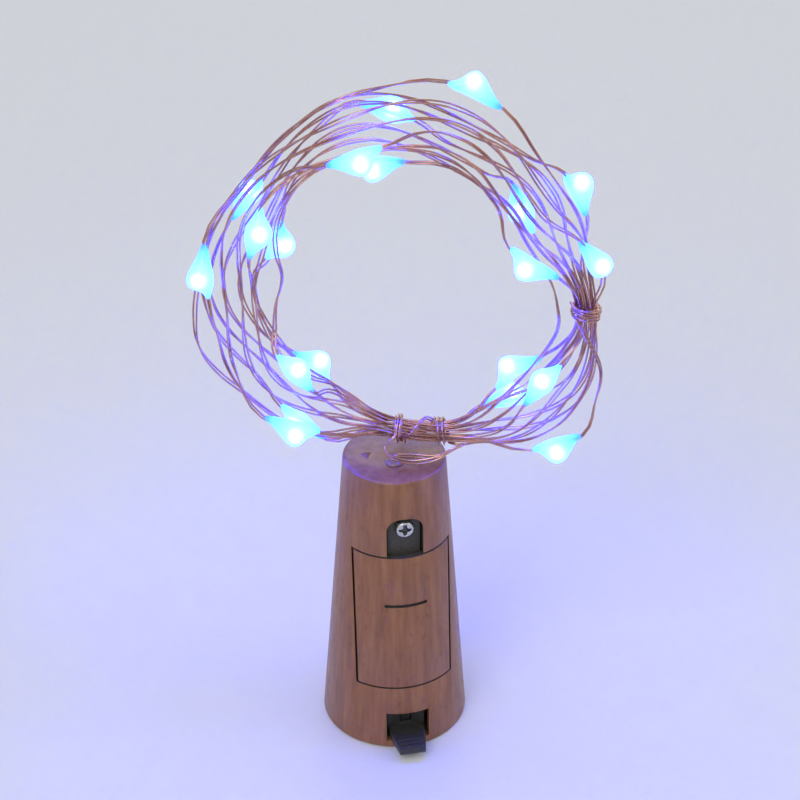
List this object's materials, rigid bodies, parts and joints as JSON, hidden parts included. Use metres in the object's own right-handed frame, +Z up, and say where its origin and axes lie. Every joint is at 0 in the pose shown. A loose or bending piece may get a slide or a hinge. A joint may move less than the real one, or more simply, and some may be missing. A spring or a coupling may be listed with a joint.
{
  "type": "bottle light",
  "caption": "Cork-shaped battery stopper with a slide switch and a screwed battery cover, carrying a thin wire string of glowing resin drops wound into an upright ring.",
  "frame": {"origin": "centre of the wide end's flat base", "axes": "+Z up along the cork's axis towards the narrow end, -Y towards the battery cover and the switch"},
  "size_m": [0.0617, 0.0271, 0.1128],
  "materials": {
    "cork_plastic": "satin brown with a cork-like grain",
    "black_plastic": "satin",
    "steel": "bright nickel plate",
    "bronze": "plain",
    "copper_wire": "clear enamel over copper",
    "clear_resin": "clear cast resin, lit",
    "board": "solder mask",
    "ceramic": "plain",
    "red_sleeve": "satin",
    "black_sleeve": "satin",
    "glue": "milky"
  },
  "bodies": {
    "case": {"casing": "cork_plastic", "base_cap": "cork_plastic", "button_cell_1": "steel", "button_cell_2": "steel", "button_cell_3": "steel", "positive_contact": "steel", "negative_contact": "steel", "negative_spring": "steel", "switch_frame": "steel", "switch_base": "black_plastic", "switch_pin_1": "bronze", "switch_pin_2": "bronze", "switch_pin_3": "bronze", "circuit_board": "board", "resistor": "ceramic", "battery_lead": "black_sleeve", "positive_lead": "red_sleeve", "return_lead": "black_sleeve", "wire_seal": "glue", "string_lead": "copper_wire", "string_coil": "copper_wire", "led_drop_01": "clear_resin", "led_drop_02": "clear_resin", "led_drop_03": "clear_resin", "led_drop_04": "clear_resin", "led_drop_05": "clear_resin", "led_drop_06": "clear_resin", "led_drop_07": "clear_resin", "led_drop_08": "clear_resin", "led_drop_09": "clear_resin", "led_drop_10": "clear_resin", "led_drop_11": "clear_resin", "led_drop_12": "clear_resin", "led_drop_13": "clear_resin", "led_drop_14": "clear_resin", "led_drop_15": "clear_resin", "led_drop_16": "clear_resin", "led_drop_17": "clear_resin", "led_drop_18": "clear_resin", "led_drop_19": "clear_resin", "led_drop_20": "clear_resin"},
    "slider": {"thumb_slider": "black_plastic", "switch_stem": "black_plastic", "switch_wiper": "bronze"},
    "cover": {"battery_cover": "cork_plastic"},
    "screw": {"cover_screw": "steel"}
  },
  "joints": [
    {"name": "switch_slide", "type": "slide", "parent": "case", "child": "slider", "axis": [0, 0, 1], "range_m": [0, 0.003]},
    {"name": "cover_lift", "type": "slide", "parent": "case", "child": "cover", "axis": [0, -1, 0], "range_m": [0, 0.02]},
    {"name": "screw_turn", "type": "hinge", "parent": "cover", "child": "screw", "pos_m": [0, -0.0074, 0.0413], "axis": [0, -1, 0], "continuous": true}
  ]
}
